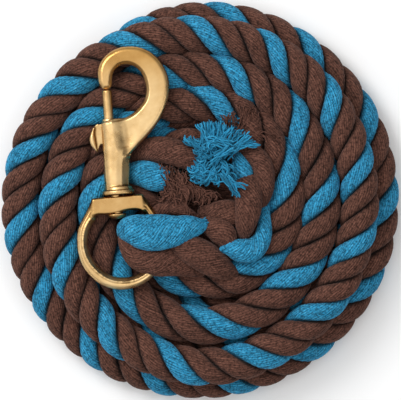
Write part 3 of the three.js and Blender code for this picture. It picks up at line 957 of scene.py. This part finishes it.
def outward_quads(vertices, quads):
    """The quads, turned to face out, and the normal at each vertex."""
    first, second, third, fourth = (vertices[quads[:, k]] for k in range(4))
    across = np.cross(third - first, fourth - second)
    normal = np.zeros_like(vertices)
    for k in range(4):
        np.add.at(normal, quads[:, k], across)
    if (normal * (vertices - vertices.mean(0))).sum() < 0:
        quads = quads[:, ::-1]
        normal = -normal
    return quads, normal / (np.linalg.norm(normal, axis=1)[:, None] + 1e-9)


def solid_mesh(name, distance, low, body, brightness_marks):
    """A cast piece from its distance field, turned into place, with values for painted shade in its hollows
    and for its tone along it.
    """
    grid = openvdb.FloatGrid(FIELD_REACH)
    grid.copyFromArray(np.clip(distance, -FIELD_REACH, FIELD_REACH).astype(np.float32))
    points, quads = grid.convertToQuads(0.0)
    local = points * VOXEL + np.array(low)
    vertices = snap_to_rope(local)
    quads, normal = outward_quads(vertices, quads[:, ::-1].astype(int))
    edges = np.vstack([quads[:, [0, 1]], quads[:, [1, 2]], quads[:, [2, 3]], quads[:, [3, 0]]])
    for _ in range(2):
        vertices = 0.5 * vertices + 0.5 * neighbour_mean(vertices, edges)
    hollow = ((neighbour_mean(vertices, edges) - vertices) * normal).sum(axis=1) / VOXEL
    for _ in range(6):
        hollow = 0.4 * hollow + 0.6 * neighbour_mean(hollow, edges)
    brightness_along = np.interp(local[:, 1], *zip(*brightness_marks))
    # crevice is how hollow each place is, which the brass turns into painted shade
    values = {"crevice": np.clip(0.4 + 6 * hollow, 0, 1), "brightness_along": brightness_along}
    made = make_object(name, vertices, quads, BRASS, values=values)
    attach(made, body)
    return made


def hook_plate(w, flat_u, flat_v):
    """The hook and its web: thick in the middle, rounded outside and bevelled inside."""
    edge = line_distance(rounded_loop(HOOK_OUTER + WEB_BOTTOM + HOOK_INNER), flat_u, flat_v)
    from_outer = line_distance(smooth_route(HOOK_OUTER, 4), flat_u, flat_v, closed=False)
    from_inner = line_distance(smooth_route(HOOK_INNER, 4), flat_u, flat_v, closed=False)
    curved = np.maximum(HOOK_CURVE - np.minimum(from_outer, HOOK_CURVE), 0)
    outer_height = HOOK_OUTER_RIM + np.sqrt(HOOK_CURVE**2 - curved**2)
    inner_height = HOOK_INNER_RIM + 1.05 * from_inner
    valley = 0.9 * np.exp(-(((flat_u - 6.8) / 4.2) ** 2) - ((flat_v - 50) / 6.5) ** 2)
    height = np.minimum(np.minimum(outer_height, inner_height), HOOK_HALF - valley)
    return np.maximum((np.abs(w) - height[:, :, None]) * 0.75, edge[:, :, None])


def make_snap_body():
    """Hook, barrel, rib, flange, collar and riveted shank in one casting, with the bolt's bore and slot."""
    low, high = (-12, 10.5, -8.5), (31, 95.5, 8.5)
    u, v, w, flat_u, flat_v = solid_grid(low, high)
    leaning = u - 0.09 * (v - 27)
    rib = box_distance(leaning, v, w, *RIB_BOX)
    rib = np.maximum(rib, (np.abs(w) - 4.3 + 0.85 * (leaning - 3)) * 0.76)
    across, radius, middle, half = FLANGE_STEP
    step = rod(u, v, w / 0.9, across, radius - STEP_TAPER * (v - 26), middle, half)
    head = (np.sqrt(u**2 + ((v - HEAD_TOP) * 1.9) ** 2 + (w * 1.2) ** 2) - HEAD_RADIUS) * 0.6
    head = np.maximum(head, v - HEAD_TOP)
    solid = blend_union(hook_plate(w, flat_u, flat_v), rod(u, v, w, *BARREL, BARREL_CHAMFER), 3.8)
    solid = blend_union(solid, rib, 1.6)
    solid = blend_union(solid, np.minimum(rod(u, v, w / 0.9, *FLANGE), step), 0.6)
    solid = blend_union(solid, rod(u, v, w, *COLLAR), 0.5)
    solid = np.minimum(solid, np.minimum(rod(u, v, w, *SHANK), head))
    solid = cut_away(solid, rod(u, v, w, *BORE))
    solid = cut_away(solid, box_distance(u, v, w, *SLOT_BOX))
    brightness_marks = [(24, 0.5), (30, 0.9), (62, 1), (74, 0.7), (88, 0.1)]
    return solid_mesh("snap_body_cast", solid, low, "snap", brightness_marks)


def make_swivel_eye():
    """The ring and its flat bar, with the hole that the snap's shank turns in."""
    low, high = (-22, -23.5, -5), (24, 26, 6)
    u, v, w, flat_u, flat_v = solid_grid(low, high)
    outer = line_distance(rounded_loop(RING_OUTER), flat_u, flat_v)
    inner = line_distance(rounded_loop(RING_INNER), flat_u, flat_v)
    from_inner, from_outer = np.maximum(inner, 0), np.maximum(-outer, 0)
    ring_height = np.minimum(np.interp(from_inner, *zip(*RING_PROFILE)), 0.9 + 1.4 * from_outer)
    bar_height = np.minimum(3.5, 2.3 + 1.5 * np.minimum(from_outer, from_inner))
    on_bar = np.clip((flat_v - 13.5) / 2, 0, 1) * np.clip((13.2 - np.abs(flat_u - 0.6)) / 1.5, 0, 1)
    height = ring_height * (1 - on_bar) + bar_height * on_bar
    ring = np.maximum((np.abs(w) - height[:, :, None]) * 0.75, np.maximum(outer, -inner)[:, :, None])
    solid = cut_away(ring, rod(u, v, w, *SHANK_HOLE))
    return solid_mesh("swivel_eye_cast", solid, low, "ring", [(5, 1), (14, 0.38), (24, 0.38)])


def make_bolt():
    """The pin that slides in the barrel's bore."""
    low, high = (-4.5, 47, -4), (3, 76, 4)
    u, v, w, _, _ = solid_grid(low, high)
    pin = rod(u, v, w, *BOLT, BOLT_CHAMFER)
    return solid_mesh("bolt_pin", pin, low, "bolt", [(60, 0.8), (72, 0.5)])


def make_button():
    """The crescent for the thumb, and the thin stem that joins it to the bolt through the slot."""
    low, high = (-12.5, 43, -4), (-1, 60, 4)
    _, _, w, flat_u, flat_v = solid_grid(low, high)
    edge = line_distance(rounded_loop(BUTTON_OUTLINE), flat_u, flat_v)[:, :, None]
    crescent = line_distance(rounded_loop(BUTTON_KNOB), flat_u, flat_v)[:, :, None]
    stem = np.maximum(edge, np.abs(w) - 0.9)
    knob = chamfered(crescent, np.abs(w) - 2.3, BUTTON_CHAMFER)
    return solid_mesh("thumb_button_cast", blend_union(stem, knob, 0.3), low, "bolt", [(44, 1), (58, 0.7)])


# -------- whipping and spring

TWINE_RADIUS = 0.6
WHIPPED_LENGTH = 10.5
BARE_END = 1.5
TWINE_STEPS = 28
SPRING_BOTTOM = 31.2
SPRING_TOP = 49.6
SPRING_RADIUS = 1.9
SPRING_WIRE = 0.38
SPRING_TURNS = 10
SPRING_STEPS = 340


def make_whipping():
    """Twine wound tightly round the tail's end."""
    turns = WHIPPED_LENGTH / (2 * TWINE_RADIUS)
    share = np.linspace(0, 1, int(turns * TWINE_STEPS))
    points, _ = along(ROPE_LENGTH - BARE_END - WHIPPED_LENGTH * share)
    up, right = frames(points)
    angle = (2 * np.pi * turns * share)[:, None]
    reach = BULGE_RADIUS - 0.25 * TWINE_RADIUS
    wound = points + reach * (up * np.cos(angle) + right * np.sin(angle))
    vertices, faces, uv = yarn_tubes([wound], [TWINE_RADIUS], 61)
    vertices[:, 2] = np.maximum(vertices[:, 2], FLOOR_GAP)
    values = {"depth": np.zeros(len(vertices)), "ridge": np.ones(len(vertices))}
    return make_object("whipping_twine", vertices, faces, TWINE, uv, values)


def make_spring():
    """The bolt's spring: open turns with a closed one at each end."""
    turn_marks = [0, 1, SPRING_TURNS - 1, SPRING_TURNS]
    turns = np.interp(np.linspace(0, 1, SPRING_STEPS), [0, 0.1, 0.9, 1], turn_marks)
    pitch = 2 * SPRING_WIRE
    full = SPRING_TOP - SPRING_BOTTOM
    height = np.interp(turns, turn_marks, [0, pitch, full - pitch, full])
    across = BOLT[0] + SPRING_RADIUS * np.cos(2 * np.pi * turns)
    above = SPRING_RADIUS * np.sin(2 * np.pi * turns)
    line = snap_to_rope(np.stack([across, SPRING_BOTTOM + height, above], axis=1))
    vertices, faces, uv = yarn_tubes([line], [SPRING_WIRE], 62)
    made = make_object("bolt_spring_wire", vertices, faces, STEEL, uv)
    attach(made, "snap")
    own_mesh(made)
    return made


# -------- the scene

make_camera()
make_sky()
add_area_light("key", place=(-0.6, 0.5, 0.85), size=0.55, power=6)
add_area_light("fill", place=(0.8, -0.4, 0.7), size=0.8, power=1.5)
make_floor()
bpy.context.scene.view_settings.view_transform = "Standard"

blue_strand = make_strand("blue_strand", 0, BLUE, 11)
brown_strand_a = make_strand("brown_strand_a", 1 / 3, BROWN, 12)
brown_strand_b = make_strand("brown_strand_b", 2 / 3, BROWN, 13)
loose_strands = {}
for seed, (name, route) in enumerate(STRAND_ROUTES.items(), 21):
    loose_strands[name] = make_loose_strands(name, [route], BLUE if "blue" in name else BROWN, seed)
splice_under = make_loose_strands("splice_under", UNDER_ROUTES, BROWN, 35, UNDER_SHADE)
blue_tuft = make_tuft("blue_tuft", BLUE_TUFT, BLUE_YARN, 0.42, 41)
inner_tuft = make_tuft("brown_tuft_inner", BROWN_TUFT_INNER, BROWN_YARN, 0.31, 43)
outer_tuft = make_tuft("brown_tuft_outer", BROWN_TUFT_OUTER, BROWN_YARN, 0.3, 45)
blue_fray = make_tuft("blue_fray", SMALL_FRAYS, BLUE_YARN, 0.35, 47)
whipping = make_whipping()

rope_pieces = [brown_strand_a, brown_strand_b, *loose_strands.values(), splice_under]
rope_pieces += [blue_tuft, inner_tuft, outer_tuft, blue_fray, whipping]
slots = {BROWN: "brown_cotton", BROWN_YARN: "brown_cotton", TWINE: "twine"}
slots |= {BLUE: "blue_cotton", BLUE_YARN: "blue_cotton"}
for piece in [blue_strand, *rope_pieces]:
    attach(piece, "rope")
coil_nodes = ("rope_lower_coil", "rope_upper_coil", "rope_splice", "rope_inner_turn", "rope_tail")
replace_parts(brown_strand_a, *coil_nodes)
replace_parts(loose_strands["eye_strand_blue"], "rope_eye")
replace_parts(blue_tuft, "blue_strand_end")
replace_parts(inner_tuft, "brown_strand_end_inner")
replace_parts(outer_tuft, "brown_strand_end_outer")
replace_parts(whipping, "tail_whipping")
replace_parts(make_spring(), "bolt_spring")
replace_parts(make_snap_body(), "snap_body")
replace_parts(make_swivel_eye(), "swivel_eye")
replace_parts(make_bolt(), "bolt")
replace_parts(make_button(), "thumb_button")
